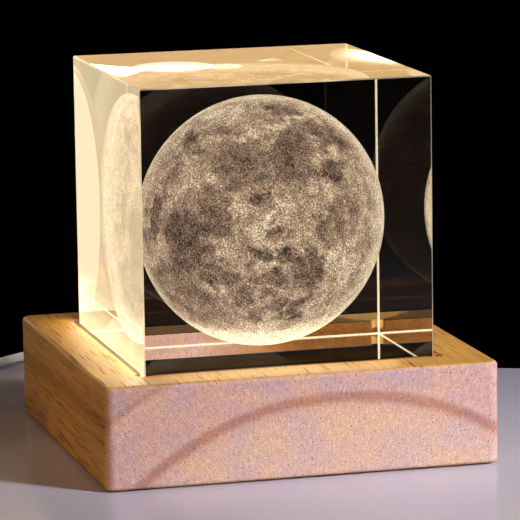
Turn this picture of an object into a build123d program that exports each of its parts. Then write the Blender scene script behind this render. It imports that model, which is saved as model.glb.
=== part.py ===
from build123d import *
import math
import os

import numpy as np

# Crystal cube lamp: a glass cube with a ball figure lasered into it, standing in a square seat in a
# solid wooden base that lights it from below. Millimetres, +Z up, front towards -Y, and the origin
# on the table under the middle of the base.

# Wooden base
base_side = 81.0
base_height = 20.8
base_corner_radius = 2.0  # upright edges
base_edge_radius = 0.9  # top and bottom edges
foot_stand_off = 0.3  # the pads lift the wood this far off the table

# Glass cube and its seat
cube_side = 60.0
cube_edge_chamfer = 0.4
figure_diameter = 51.5
figure_offset = (-0.5, 0.0, -0.5)  # from the cube's middle, left by setting up the laser
figure_gap = 0.05  # the engraved zone is kept this far inside the clear glass
seat_clearance = 0.5  # each side of the cube
seat_depth = 3.2
seat_relief_radius = 1.8  # router relief in the seat's corners
seat_relief_inset = 0.3  # from the seat's corner to the relief's centre, both ways

# Light window under the cube
window_diameter = 48.0
window_thickness = 2.0
window_gap = 0.2
window_chamfer = 0.3
well_diameter = 42.0

# Pocket in the underside, its cover and the pads
pocket_diameter = 56.0
pocket_depth = 9.7  # from the wood's underside
cover_side = 58.0
cover_corner_radius = 5.0
cover_gap = 0.3
cover_thickness = 1.8
cover_chamfer = 0.4
cover_recess_depth = 2.0
cover_screw_spacing = 49.0
foot_diameter = 8.0
foot_recess_depth = 1.2
foot_recess_gap = 0.2
foot_spacing = 68.0
foot_edge_radius = 0.25

# Screws: head, shank and how far the pilot hole stands off the shank
cover_screw_head_diameter = 4.2
cover_screw_head_height = 1.3
cover_screw_diameter = 2.2
cover_screw_length = 8.0
board_screw_head_diameter = 3.6
board_screw_head_height = 1.3
board_screw_head_radius = 0.4
board_screw_diameter = 1.6
board_screw_cover = 1.4  # wood left between the screw's tip and the light window
screw_gap = 0.05
slot_width = 0.5
slot_depth = 0.5

# Light board
board_diameter = 50.0
board_thickness = 1.6
board_screw_circle = 46.0
board_screw_count = 3
led_length = 3.5
led_width = 2.8
led_height = 0.8
led_chamfer = 0.15
led_ring_counts = (4, 8)
led_ring_circles = (13.0, 30.0)
phosphor_diameter = 2.3
phosphor_depth = 0.3
resistor_size = (2.0, 1.25, 0.6)
resistor_count = 3
resistor_circle = 22.0
solder_diameter = 2.0
solder_height = 0.5
solder_chamfer = 0.2
solder_spacing = 4.4
solder_y = 15.0

# Lead, its entry and the stop that holds it
cable_diameter = 2.0
cable_height = 6.0  # of the exit, above the table
cable_inner_end = 23.5  # where the jacket stops, inside the pocket
cable_hole_diameter = 3.2
grommet_shank_diameter = 5.0
grommet_shank_length = 7.0
grommet_flange_diameter = 7.5
grommet_flange_thickness = 1.6
grommet_taper_length = 8.0
grommet_tip_diameter = 3.0
grommet_root_diameter = 4.8
grommet_gap = 0.05
relief_groove_count = 3
relief_groove_width = 0.6
relief_groove_wall = 0.35  # left between a groove and the lead
stop_width = 2.4
stop_thickness = 1.0
stop_head_size = 3.4
stop_wall_gap = 0.3
wire_diameter = 0.9
wire_spacing = 1.1

# Switch on the lead, along Y
switch_x = -58.0
switch_y = 45.0
switch_length = 25.0
switch_width = 11.5
switch_shell_height = 4.1  # each half
switch_wall = 1.5
switch_corner_radius = 3.0
switch_edge_radius = 1.0
ground_gap = 0.1  # under what lies on the table beside the lamp
cable_grip = 3.0  # how far the lead goes into the switch
cable_gap = 0.05
rocker_radius = 5.0  # the rocker's ends are round about its pin
rocker_width = 5.8
rocker_tilt = 9.0  # degrees each side of level
rocker_gap = 0.15
rocker_pin_diameter = 1.5
rocker_pin_length = 1.1
rocker_pin_gap = 0.05
rocker_pivot_rise = 2.3  # above the joint between the halves
rocker_crown = 2.3  # top of the rocker's middle above its pin
rocker_floor = 1.6  # its underside below its pin
lug_half_length = 1.9
contact_thickness = 0.4
contact_near = 3.0
contact_far = 4.2
contact_width = 4.4
contact_gap = 0.1
terminal_width = 1.4
terminal_spacing = 2.0
terminal_reach = 6.6
terminal_overlap = 2.2
switch_wire_diameter = 0.7

# Coil of spare lead and its tie
coil_inner_radius = 8.1
coil_pitch = 2.95
coil_layer_step = 2.6
coil_layers = 4
coil_half_turns = 6  # crossings of the coil's middle line in each layer
coil_start_y = 12.0
tie_thickness = 0.4
tie_width = 3.0
tie_gap = 0.1
tie_corner_radius = 1.5
tie_twist_diameter = 1.2
tie_twist_length = 5.0

# USB-A plug, along Y
plug_relief_length = 7.0
plug_relief_tip_diameter = 3.4
plug_relief_root_diameter = 5.6
plug_body_length = 20.0
plug_body_width = 15.6
plug_body_height = 8.0
plug_body_radius = 2.2
plug_mouth_chamfer = 0.4
plug_relief_overlap = 1.0  # how far the relief runs into the body
plug_set_in = 3.7  # the plug's middle line lies this far inside the coil's outer turn
plug_y = 41.5
plug_shell_width = 12.0
plug_shell_height = 4.5
plug_shell_wall = 0.3
plug_shell_radius = 0.6
plug_shell_reach = 14.0  # out of the body
plug_shell_socket = 3.0  # into the body
plug_gap = 0.05
plug_window_width = 2.4
plug_window_length = 2.0
plug_window_spacing = 5.4
plug_window_from_mouth = 6.0
tongue_thickness = 1.9
tongue_block_length = 5.0
tongue_set_back = 0.6
contact_pitch = 2.3
contact_strip_width = 1.1
contact_strip_thickness = 0.2
contact_strip_set_back = 1.0
contact_strip_lengths = (7.5, 6.5, 6.5, 7.5)

# Levels and places that follow
wood_bottom = foot_stand_off
wood_top = wood_bottom + base_height
seat_floor = wood_top - seat_depth
seat_side = cube_side + 2 * seat_clearance
window_bottom = seat_floor - window_thickness
pocket_top = wood_bottom + pocket_depth
board_bottom = pocket_top - board_thickness
board_screw_length = window_bottom - board_screw_cover - board_bottom
cover_top = wood_bottom + cover_recess_depth
cover_bottom = cover_top - cover_thickness
base_back = base_side / 2
grommet_tip_y = base_back + grommet_flange_thickness + grommet_taper_length
switch_joint = ground_gap + switch_shell_height
switch_top = ground_gap + 2 * switch_shell_height
switch_far_end = switch_y - switch_length / 2
switch_near_end = switch_y + switch_length / 2
rocker_pin_z = switch_joint + rocker_pivot_rise
window_half_length = rocker_radius + rocker_gap
window_half_width = rocker_width / 2 + rocker_gap
coil_bottom = ground_gap / 2 + tie_thickness + tie_gap + cable_diameter / 2
coil_outer_radius = coil_inner_radius + (coil_half_turns - 1) * coil_pitch / 2
coil_x = switch_x - coil_outer_radius
coil_y = coil_start_y - cable_diameter
coil_top = coil_bottom + (coil_layers - 1) * coil_layer_step
plug_x = coil_x - coil_outer_radius + plug_set_in
plug_z = ground_gap + plug_body_height / 2

# The lead's free route, as chosen points: out of the back, down to the table, round to the left
# behind the base and forward into the switch
lamp_route = [
    (0, grommet_tip_y, cable_height),
    (0, 58.6, cable_height),
    (-3, 71, 4.4),
    (-12, 84, 1.9),
    (-27, 92, 1.1),
    (-43, 82, 1.05),
    (-53.5, 72.5, 1.3),
    (switch_x, 64, switch_joint),
    (switch_x, switch_near_end - cable_grip, switch_joint),
]
# From the switch down to the coil
link_route = [
    (switch_x, switch_far_end + cable_grip, switch_joint),
    (switch_x, 27.5, switch_joint),
    (switch_x, 19.5, coil_bottom),
    (switch_x, coil_start_y, coil_bottom),
]
# From the top of the coil down to the plug
tail_route = [
    (coil_x - coil_outer_radius, coil_start_y, coil_top),
    (coil_x - coil_outer_radius, 18, coil_top),
    (-87.3, 26, 6.6),
    (plug_x, 34.5, plug_z),
    (plug_x, plug_y, plug_z),
]

upright = (Align.CENTER, Align.CENTER, Align.MIN)


def disc(diameter, low, high, x=0.0, y=0.0):
    return Pos(x, y, low) * Cylinder(diameter / 2, high - low, align=upright)


def rod(start, end, diameter):
    along = Vector(end) - Vector(start)
    return extrude(Plane(origin=start, z_dir=along) * Circle(diameter / 2), along.length)


def rounded_block(length, width, radius, low, high):
    return Pos(0, 0, low) * extrude(RectangleRounded(length, width, radius), high - low)


def corners(spacing):
    half = spacing / 2
    return [(half, half), (-half, half), (-half, -half), (half, -half)]


def around(count, circle, start=-90.0):
    turns = [math.radians(start + 360 * index / count) for index in range(count)]
    return [(circle / 2 * math.cos(turn), circle / 2 * math.sin(turn)) for turn in turns]


def level_edges(solid, level):
    at_level = [edge for edge in solid.edges() if abs(edge.center().Z - level) < 1e-4]
    return [edge for edge in at_level if edge.bounding_box().size.Z < 1e-4]


def edges_across(solid, y):
    return [edge for edge in solid.edges() if abs(edge.center().Y - y) < 1e-4]


def groove_cutters(x, start_y, z, length, wide):
    """Pairs of slots across the top and bottom of a bend relief, which let it flex."""
    pitch = length / (relief_groove_count + 1)
    lift = cable_diameter / 2 + relief_groove_wall + wide / 4
    slot = Box(wide, relief_groove_width, wide / 2)
    places = [
        Pos(x, start_y + (index + 1) * pitch, z + side * lift)
        for index in range(relief_groove_count)
        for side in (-1, 1)
    ]
    return [place * slot for place in places]


def bend_radii(points):
    """Each bend's arc takes 0.45 of the shorter run beside it."""
    radii = []
    for before, corner, after in zip(points, points[1:], points[2:]):
        first = Vector(corner) - Vector(before)
        second = Vector(after) - Vector(corner)
        half_turn = math.radians(first.get_angle(second)) / 2
        radii.append(0.45 * min(first.length, second.length) / math.tan(half_turn))
    return radii


def tube_along(name, points, diameter):
    """Straight runs joined by tangent arcs."""
    radii = bend_radii(points)
    path = FilletPolyline(*points, radius=radii)
    tube = sweep(Plane(origin=path @ 0, z_dir=path % 0) * Circle(diameter / 2), path=path)
    plain = math.pi * diameter**2 / 4 * path.length
    print(f"{name}: {path.length:.1f} mm, bends {[round(radius, 1) for radius in radii]} mm,"
          f" volume {tube.volume / plain:.4f} of section times length")
    return tube


# Glass


def crystal_cube():
    cube = Pos(0, 0, seat_floor) * Box(cube_side, cube_side, cube_side, align=upright)
    cube = chamfer(cube.edges(), cube_edge_chamfer)
    return cube - figure_ball(figure_diameter + 2 * figure_gap)


def figure_ball(diameter):
    return Pos(0, 0, seat_floor + cube_side / 2) * Pos(*figure_offset) * Sphere(diameter / 2)


# Wood


def seat_cutter():
    cutter = Pos(0, 0, seat_floor) * Box(seat_side, seat_side, seat_depth, align=upright)
    for x, y in corners(seat_side - 2 * seat_relief_inset):
        cutter += disc(2 * seat_relief_radius, seat_floor, wood_top, x, y)
    return cutter


def wood_base():
    block = rounded_block(base_side, base_side, base_corner_radius, wood_bottom, wood_top)
    block = fillet(level_edges(block, wood_top) + level_edges(block, wood_bottom), base_edge_radius)
    block -= seat_cutter()
    block -= disc(window_diameter + 2 * window_gap, window_bottom, seat_floor)
    block -= disc(well_diameter, pocket_top, window_bottom)
    block -= disc(pocket_diameter, wood_bottom, pocket_top)
    recess_side = cover_side + 2 * cover_gap
    block -= rounded_block(recess_side, recess_side, cover_corner_radius + cover_gap, wood_bottom, cover_top)
    block -= rod((0, 0, cable_height), (0, base_back, cable_height), cable_hole_diameter)
    shank_end = base_back - grommet_shank_length
    block -= rod((0, shank_end, cable_height), (0, base_back, cable_height),
                 grommet_shank_diameter + 2 * grommet_gap)
    for x, y in corners(foot_spacing):
        block -= disc(foot_diameter + 2 * foot_recess_gap, wood_bottom, wood_bottom + foot_recess_depth, x, y)
    for x, y in corners(cover_screw_spacing):
        tip = cover_bottom + cover_screw_length
        block -= disc(cover_screw_diameter + 2 * screw_gap, cover_top, tip, x, y)
    for x, y in around(board_screw_count, board_screw_circle):
        tip = board_bottom + board_screw_length
        block -= disc(board_screw_diameter + 2 * screw_gap, pocket_top, tip, x, y)
    return block


# Light


def light_window():
    window = disc(window_diameter, window_bottom, seat_floor)
    return chamfer(level_edges(window, window_bottom), window_chamfer)


def led_board():
    board = disc(board_diameter, board_bottom, pocket_top)
    for x, y in around(board_screw_count, board_screw_circle):
        board -= disc(board_screw_diameter + 8 * screw_gap, board_bottom, pocket_top, x, y)
    return board


def led_places():
    return [
        (x, y, math.degrees(math.atan2(y, x)))
        for count, circle in zip(led_ring_counts, led_ring_circles)
        for x, y in around(count, circle, 45.0)
    ]


def led_packages():
    package = Box(led_length, led_width, led_height, align=upright)
    package = chamfer(level_edges(package, led_height), led_chamfer)
    package -= disc(phosphor_diameter, led_height - phosphor_depth, led_height)
    return Compound([Pos(x, y, pocket_top) * Rot(0, 0, turn) * package for x, y, turn in led_places()])


def led_phosphor():
    top = pocket_top + led_height
    return Compound([disc(phosphor_diameter, top - phosphor_depth, top, x, y) for x, y, _ in led_places()])


def board_resistors():
    chip = Box(*resistor_size, align=upright)
    return Compound([
        Pos(x, y, pocket_top) * Rot(0, 0, math.degrees(math.atan2(y, x)) + 90) * chip
        for x, y in around(resistor_count, resistor_circle, 30.0)
    ])


def board_screws():
    screws = []
    for x, y in around(board_screw_count, board_screw_circle):
        screw = disc(board_screw_head_diameter, board_bottom - board_screw_head_height, board_bottom, x, y)
        slot_floor = board_bottom - board_screw_head_height
        screw = fillet(level_edges(screw, slot_floor), board_screw_head_radius)
        screw += disc(board_screw_diameter, board_bottom, board_bottom + board_screw_length, x, y)
        screw -= Pos(x, y, slot_floor) * Box(board_screw_head_diameter, slot_width, slot_depth, align=upright)
        screws.append(screw)
    return Compound(screws)


def solder_places():
    return [(-solder_spacing / 2, solder_y), (solder_spacing / 2, solder_y)]


def solder_joints():
    low = board_bottom - solder_height
    joints = [disc(solder_diameter, low, board_bottom, x, y) for x, y in solder_places()]
    return Compound([chamfer(level_edges(joint, low), solder_chamfer) for joint in joints])


def lead_wire(name, side):
    """From the end of the jacket to its pad on the underside of the board."""
    pad_x, pad_y = solder_places()[0 if side < 0 else 1]
    near_x = side * wire_spacing / 2
    low = cable_height - 1.3
    return tube_along(name, [
        (near_x, cable_inner_end, cable_height),
        (near_x, cable_inner_end - 2.2, cable_height),
        ((near_x + pad_x) / 2, pad_y + 2.6, low),
        (pad_x, pad_y, low - 0.3),
        (pad_x, pad_y, board_bottom - solder_height),
    ], wire_diameter)


# Underside


def bottom_cover():
    cover = rounded_block(cover_side, cover_side, cover_corner_radius, cover_bottom, cover_top)
    cover = chamfer(level_edges(cover, cover_bottom), cover_chamfer)
    for x, y in corners(cover_screw_spacing):
        cover -= disc(cover_screw_diameter + 4 * screw_gap, cover_bottom, cover_top, x, y)
        cover -= countersink(x, y, screw_gap)
    return cover


def countersink(x, y, gap):
    head_top = cover_bottom + cover_screw_head_height
    profile = Polyline(
        (0, cover_bottom),
        (cover_screw_head_diameter / 2 + gap, cover_bottom),
        (cover_screw_diameter / 2 + gap, head_top),
        (0, head_top),
        close=True,
    )
    return Pos(x, y, 0) * revolve(Plane.XZ * make_face(profile), Axis.Z)


def cover_screws():
    screws = []
    for x, y in corners(cover_screw_spacing):
        screw = countersink(x, y, 0.0)
        screw += disc(cover_screw_diameter, cover_bottom, cover_bottom + cover_screw_length, x, y)
        for turn in (0, 90):
            blade = Box(0.7 * cover_screw_head_diameter, slot_width, slot_depth, align=upright)
            screw -= Pos(x, y, cover_bottom) * Rot(0, 0, turn) * blade
        screws.append(screw)
    return Compound(screws)


def silicone_feet():
    pads = []
    for x, y in corners(foot_spacing):
        pad = disc(foot_diameter, 0, wood_bottom + foot_recess_depth, x, y)
        pads.append(fillet(level_edges(pad, 0), foot_edge_radius))
    return Compound(pads)


# Lead entry


def cable_grommet():
    root = base_back + grommet_flange_thickness
    profile = Polyline(
        (cable_diameter / 2 + cable_gap, base_back - grommet_shank_length),
        (grommet_shank_diameter / 2, base_back - grommet_shank_length),
        (grommet_shank_diameter / 2, base_back),
        (grommet_flange_diameter / 2, base_back),
        (grommet_flange_diameter / 2, root),
        (grommet_root_diameter / 2, root),
        (grommet_tip_diameter / 2, grommet_tip_y),
        (cable_diameter / 2 + cable_gap, grommet_tip_y),
        close=True,
    )
    grommet = Pos(0, 0, cable_height) * revolve(make_face(profile), Axis.Y)
    return grommet - groove_cutters(0, root, cable_height, grommet_taper_length, grommet_root_diameter)


def cable_inner():
    return rod((0, cable_inner_end, cable_height), (0, grommet_tip_y, cable_height), cable_diameter)


def cable_stop():
    """A small tie drawn tight round the lead, just inside the pocket's wall."""
    wall = math.sqrt((pocket_diameter / 2) ** 2 - (stop_head_size + cable_diameter) ** 2)
    far = wall - stop_wall_gap
    bore = cable_diameter + 2 * cable_gap
    band = rod((0, far - stop_width, cable_height), (0, far, cable_height), bore + 2 * stop_thickness)
    head = Pos(bore / 2 + stop_head_size / 2, far - stop_width / 2, cable_height)
    band += head * Box(stop_head_size, stop_width, stop_head_size)
    return band - rod((0, far - stop_width, cable_height), (0, far, cable_height), bore)


# Switch on the lead


def switch_half(low, high, outer_level):
    place = Pos(switch_x, switch_y, 0)
    half = place * rounded_block(switch_width, switch_length, switch_corner_radius, low, high)
    half = fillet(level_edges(half, outer_level), switch_edge_radius)
    inner_radius = switch_corner_radius - switch_wall
    cavity_low = low if outer_level == high else low + switch_wall
    cavity_high = high if outer_level == low else high - switch_wall
    cavity = rounded_block(switch_width - 2 * switch_wall, switch_length - 2 * switch_wall, inner_radius,
                           cavity_low, cavity_high)
    half -= place * cavity
    far = (switch_x, switch_far_end, switch_joint)
    near = (switch_x, switch_near_end, switch_joint)
    return half - rod(far, near, cable_diameter + 2 * cable_gap)


def switch_lower_shell():
    return switch_half(ground_gap, switch_joint, ground_gap)


def switch_upper_shell():
    shell = switch_half(switch_joint, switch_top, switch_top)
    roof = switch_top - switch_wall
    lug_width = switch_width / 2 - switch_wall - window_half_width
    lug_height = roof - rocker_pin_z + rocker_pin_diameter
    for side in (-1, 1):
        lug_x = switch_x + side * (window_half_width + lug_width / 2)
        shell += Pos(lug_x, switch_y, roof - lug_height / 2) * Box(lug_width, 2 * lug_half_length, lug_height)
    window = Box(2 * window_half_width, 2 * window_half_length, 2 * switch_wall)
    shell -= Pos(switch_x, switch_y, switch_top) * window
    reach = rocker_width / 2 + rocker_pin_length + rocker_pin_gap
    left = (switch_x - reach, switch_y, rocker_pin_z)
    right = (switch_x + reach, switch_y, rocker_pin_z)
    return shell - rod(left, right, rocker_pin_diameter + 2 * rocker_pin_gap)


def at_rocker(solid):
    """Turns what is drawn level about the pin to where it rests, with the lamp's side pressed."""
    return Pos(switch_x, switch_y, rocker_pin_z) * Rot(-rocker_tilt, 0, 0) * solid


def switch_rocker():
    rise = rocker_radius * math.tan(math.radians(rocker_tilt))
    profile = Polyline(
        (-rocker_radius, -rocker_floor),
        (rocker_radius, -rocker_floor),
        (rocker_radius, rocker_crown + rise),
        (0, rocker_crown),
        (-rocker_radius, rocker_crown + rise),
        close=True,
    )
    half_width = rocker_width / 2
    body = Pos(-half_width, 0, 0) * extrude(Plane.YZ * make_face(profile), rocker_width)
    body &= rod((-half_width, 0, 0), (half_width, 0, 0), 2 * rocker_radius)
    pin_reach = half_width + rocker_pin_length
    body += rod((-pin_reach, 0, 0), (pin_reach, 0, 0), rocker_pin_diameter)
    return at_rocker(body)


def rocker_contact():
    length = contact_far - contact_near
    strip = Box(contact_width, length, contact_thickness)
    middle = (contact_near + contact_far) / 2
    return at_rocker(Pos(0, middle, -rocker_floor - contact_thickness / 2) * strip)


def terminal_top():
    tilt = math.radians(rocker_tilt)
    drop = (rocker_floor + contact_thickness) * math.cos(tilt) + contact_far * math.sin(tilt)
    return rocker_pin_z - drop - contact_gap


def switch_terminals():
    top = terminal_top()
    floor = ground_gap + switch_wall
    strips = []
    for side, near in ((1, terminal_overlap), (-1, -contact_far)):
        x = switch_x + side * terminal_spacing / 2
        leaf_length = terminal_reach - near
        leaf = Pos(x, switch_y + side * (near + leaf_length / 2), top - contact_thickness / 2)
        leg = Pos(x, switch_y + side * (terminal_reach - contact_thickness / 2), (floor + top) / 2)
        strip = leaf * Box(terminal_width, leaf_length, contact_thickness)
        strips.append(strip + leg * Box(terminal_width, contact_thickness, top - floor))
    return Compound(strips)


def switch_wires():
    """One core is broken by the switch and the other passes along its side wall."""
    end = switch_length / 2 - cable_grip
    core = 0.5
    red_z = terminal_top() - switch_wire_diameter / 2
    cores = [
        rod((switch_x + side * core, switch_y + side * end, red_z),
            (switch_x + side * core, switch_y + side * terminal_reach, red_z), switch_wire_diameter)
        for side in (-1, 1)
    ]
    side_x = switch_x - (switch_width / 2 - switch_wall - switch_wire_diameter)
    high = switch_joint + core
    low = ground_gap + switch_wall + switch_wire_diameter
    cores.append(tube_along("through core", [
        (switch_x, switch_y + end, high),
        (switch_x, switch_y + end - 0.8, high),
        (side_x, switch_y + end - 3.3, low),
        (side_x, switch_y - end + 3.3, low),
        (switch_x, switch_y - end + 0.8, high),
        (switch_x, switch_y - end, high),
    ], switch_wire_diameter))
    return Compound(cores)


# Coil


def coil_crossings():
    """Where the lead crosses the coil's middle line: spiralling in and out by turns, layer on layer."""
    crossings = []
    for index in range(coil_layers * coil_half_turns):
        layer, step = divmod(index, coil_half_turns)
        steps_out = step if layer % 2 else coil_half_turns - 1 - step
        reach = coil_inner_radius + steps_out * coil_pitch / 2
        side = -1 if index % 2 else 1
        crossings.append(Vector(coil_x + side * reach, coil_y, coil_bottom + layer * coil_layer_step))
    return crossings


def coil_arcs():
    """Half circles within a layer, and two quarter arcs where it climbs to the next."""
    crossings = coil_crossings()
    start = crossings[0]
    arcs = [Line(start + Vector(0, cable_diameter, 0), start)]
    for index, (here, there) in enumerate(zip(crossings, crossings[1:])):
        forward = Vector(0, 1 if index % 2 else -1, 0)
        middle = (here + there) / 2
        top = middle + forward * ((there - here).length / 2)
        if abs(there.Z - here.Z) < 1e-6:
            arcs.append(ThreePointArc(here, top, there))
        else:
            arcs.append(TangentArc(here, top, tangent=forward))
            arcs.append(TangentArc(top, there, tangent=arcs[-1] % 1))
    arcs.append(Line(crossings[-1], crossings[-1] + Vector(0, cable_diameter, 0)))
    return arcs


def print_coil_gap(arcs):
    """The least distance between stretches of the coil that are over a third of a turn apart."""
    samples = 24
    points = np.array([tuple(arc @ (step / samples)) for arc in arcs for step in range(samples)])
    along = np.concatenate([[0], np.cumsum(np.linalg.norm(np.diff(points, axis=0), axis=1))])
    apart = np.linalg.norm(points[:, None] - points[None], axis=2)
    apart[np.abs(along[:, None] - along[None]) < 2 * coil_inner_radius] = np.inf
    print(f"coil: {along[-1]:.0f} mm, least gap {apart.min() - cable_diameter:.2f} mm")


def cable_coil():
    arcs = coil_arcs()
    print_coil_gap(arcs)
    path = Wire(arcs)
    return sweep(Plane(origin=path @ 0, z_dir=path % 0) * Circle(cable_diameter / 2), path=path)


def cable_tie():
    """A flat twist tie round the straight side of the coil, its ends twisted over the hollow."""
    quarter = coil_pitch / 4
    bow = coil_inner_radius - math.sqrt(coil_inner_radius**2 - (tie_width / 2 + quarter) ** 2)
    near = coil_inner_radius + quarter - cable_diameter / 2 - bow - tie_gap
    far = coil_outer_radius - quarter + cable_diameter / 2 + tie_gap
    low = coil_bottom - cable_diameter / 2 - tie_gap
    high = coil_top + cable_diameter / 2 + tie_gap
    middle = Plane(origin=(coil_x - tie_width / 2, coil_y - (near + far) / 2, (low + high) / 2),
                   x_dir=(0, 1, 0), z_dir=(1, 0, 0))
    width = far - near
    height = high - low
    inside = RectangleRounded(width, height, tie_corner_radius - tie_thickness)
    outside = RectangleRounded(width + 2 * tie_thickness, height + 2 * tie_thickness, tie_corner_radius)
    tie = extrude(middle * (outside - inside), tie_width)
    lean = Vector(0, 0.6, 0.8)
    root = Vector(coil_x, coil_y - near - tie_corner_radius, high + tie_thickness / 2)
    root += lean * (tie_twist_diameter / 4)
    tip = root + lean * tie_twist_length
    tie += rod(root, tip, tie_twist_diameter)
    for side in (-1, 1):
        tie += rod(tip - lean, tip + Vector(side * 2.2, 1.0, 1.6), tie_twist_diameter / 2)
    return tie


# Plug


def plug_block(width, height, radius, start, end):
    across = Plane(origin=(plug_x, start, plug_z), x_dir=(1, 0, 0), z_dir=(0, 1, 0))
    return extrude(across * RectangleRounded(width, height, radius), end - start)


def plug_ends():
    body_start = plug_y + plug_relief_length
    body_end = body_start + plug_body_length
    return body_start, body_end, body_end + plug_shell_reach


def plug_overmould():
    body_start, body_end, _ = plug_ends()
    body = plug_block(plug_body_width, plug_body_height, plug_body_radius, body_start, body_end)
    body = fillet(edges_across(body, body_start), plug_body_radius / 2)
    body = chamfer(edges_across(body, body_end), plug_mouth_chamfer)
    profile = Polyline(
        (0, plug_y),
        (plug_relief_tip_diameter / 2, plug_y),
        (plug_relief_root_diameter / 2, body_start),
        (plug_relief_root_diameter / 2, body_start + plug_relief_overlap),
        (0, body_start + plug_relief_overlap),
        close=True,
    )
    body += Pos(plug_x, 0, plug_z) * revolve(make_face(profile), Axis.Y)
    body -= groove_cutters(plug_x, plug_y, plug_z, plug_relief_length, plug_relief_root_diameter)
    socket = body_end - plug_shell_socket
    width = plug_shell_width + 2 * plug_gap
    height = plug_shell_height + 2 * plug_gap
    return body - plug_block(width, height, plug_shell_radius + plug_gap, socket, body_end)


def plug_shell():
    _, body_end, mouth = plug_ends()
    start = body_end - plug_shell_socket
    shell = plug_block(plug_shell_width, plug_shell_height, plug_shell_radius, start, mouth)
    inner_width = plug_shell_width - 2 * plug_shell_wall
    inner_height = plug_shell_height - 2 * plug_shell_wall
    shell -= plug_block(inner_width, inner_height, plug_shell_radius - plug_shell_wall, start, mouth)
    for side in (-1, 1):
        x = plug_x + side * plug_window_spacing / 2
        y = mouth - plug_window_from_mouth
        shell -= Pos(x, y, plug_z) * Box(plug_window_width, plug_window_length, 2 * plug_shell_height)
    return shell


def tongue_top():
    return plug_z - plug_shell_height / 2 + plug_shell_wall + plug_gap + tongue_thickness


def plug_insulator():
    _, body_end, mouth = plug_ends()
    start = body_end - plug_shell_socket
    width = plug_shell_width - 2 * plug_shell_wall - 2 * plug_gap
    height = plug_shell_height - 2 * plug_shell_wall - 2 * plug_gap
    block = plug_block(width, height, plug_shell_radius - plug_shell_wall, start, mouth - tongue_set_back)
    cleared = Pos(plug_x, start + tongue_block_length, tongue_top())
    return block - cleared * Box(width, mouth - start, height, align=(Align.CENTER, Align.MIN, Align.MIN))


def plug_contacts():
    mouth = plug_ends()[2]
    front = mouth - tongue_set_back - contact_strip_set_back
    strips = []
    for index, length in enumerate(contact_strip_lengths):
        x = plug_x + (index - 1.5) * contact_pitch
        place = Pos(x, front - length / 2, tongue_top() + contact_strip_thickness / 2)
        strips.append(place * Box(contact_strip_width, length, contact_strip_thickness))
    return Compound(strips)


parts = {
    "crystal_cube": crystal_cube(),
    "engraved_moon": figure_ball(figure_diameter),
    "wood_base": wood_base(),
    "light_window": light_window(),
    "led_board": led_board(),
    "led_packages": led_packages(),
    "led_phosphor": led_phosphor(),
    "board_resistors": board_resistors(),
    "board_screws": board_screws(),
    "solder_joints": solder_joints(),
    "lead_wire_red": lead_wire("red wire", 1),
    "lead_wire_black": lead_wire("black wire", -1),
    "bottom_cover": bottom_cover(),
    "cover_screws": cover_screws(),
    "silicone_feet": silicone_feet(),
    "cable_grommet": cable_grommet(),
    "cable_inner": cable_inner(),
    "cable_stop": cable_stop(),
    "usb_cable": tube_along("lead, lamp to switch", lamp_route, cable_diameter),
    "switch_lower_shell": switch_lower_shell(),
    "switch_upper_shell": switch_upper_shell(),
    "switch_rocker": switch_rocker(),
    "rocker_contact": rocker_contact(),
    "switch_terminals": switch_terminals(),
    "switch_wires": switch_wires(),
    "cable_link": tube_along("lead, switch to coil", link_route, cable_diameter),
    "cable_coil": cable_coil(),
    "cable_tie": cable_tie(),
    "cable_tail": tube_along("lead, coil to plug", tail_route, cable_diameter),
    "plug_overmould": plug_overmould(),
    "plug_shell": plug_shell(),
    "plug_insulator": plug_insulator(),
    "plug_contacts": plug_contacts(),
}

os.makedirs("parts", exist_ok=True)
for name, solid in parts.items():
    export_step(solid, f"parts/{name}.step")
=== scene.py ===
import bpy
import math
import numpy as np
from mathutils import Matrix, Vector


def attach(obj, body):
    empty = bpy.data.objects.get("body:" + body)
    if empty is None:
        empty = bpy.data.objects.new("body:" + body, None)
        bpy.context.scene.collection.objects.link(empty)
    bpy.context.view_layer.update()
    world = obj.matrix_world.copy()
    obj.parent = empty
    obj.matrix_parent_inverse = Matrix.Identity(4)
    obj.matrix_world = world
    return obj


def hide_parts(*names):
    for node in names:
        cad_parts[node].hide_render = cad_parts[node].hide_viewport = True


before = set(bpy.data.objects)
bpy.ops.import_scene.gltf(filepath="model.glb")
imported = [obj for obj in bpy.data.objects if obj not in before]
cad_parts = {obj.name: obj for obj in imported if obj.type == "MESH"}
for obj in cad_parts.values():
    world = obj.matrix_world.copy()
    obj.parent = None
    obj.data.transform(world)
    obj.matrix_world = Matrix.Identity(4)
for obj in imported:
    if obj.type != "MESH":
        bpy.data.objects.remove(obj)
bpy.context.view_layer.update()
print("frame loaded:", len(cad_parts), "nodes")

mm = 0.001  # every measure below is in millimetres until it goes into a mesh
perMetre = (1 / mm, 1 / mm, 1 / mm)  # scale from metres to millimetres


# sRGB hex to the linear values that Blender's sockets take
def linear(hexText, alpha=1.0):
    parts = [int(hexText[place:place + 2], 16) / 255 for place in (1, 3, 5)]
    return [*(part / 12.92 if part <= 0.04045 else ((part + 0.055) / 1.055) ** 2.4 for part in parts), alpha]


# Adds a node: settings are its own properties, inputs are links where they are sockets and plain values
# otherwise, and stops are the places and hex colours of a colour ramp
def addNode(tree, kind, inputs=None, stops=None, **settings):
    node = tree.nodes.new(kind)
    for name, value in settings.items():
        setattr(node, name, value)
    for name, value in (inputs or {}).items():
        if isinstance(value, bpy.types.NodeSocket):
            tree.links.new(value, node.inputs[name])
        else:
            node.inputs[name].default_value = value
    if stops:
        ramp = node.color_ramp
        for place, _ in stops[2:]:
            ramp.elements.new(place)
        for element, (place, hexText) in zip(ramp.elements, sorted(stops)):
            element.position = place
            element.color = linear(hexText)
    return node


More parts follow.
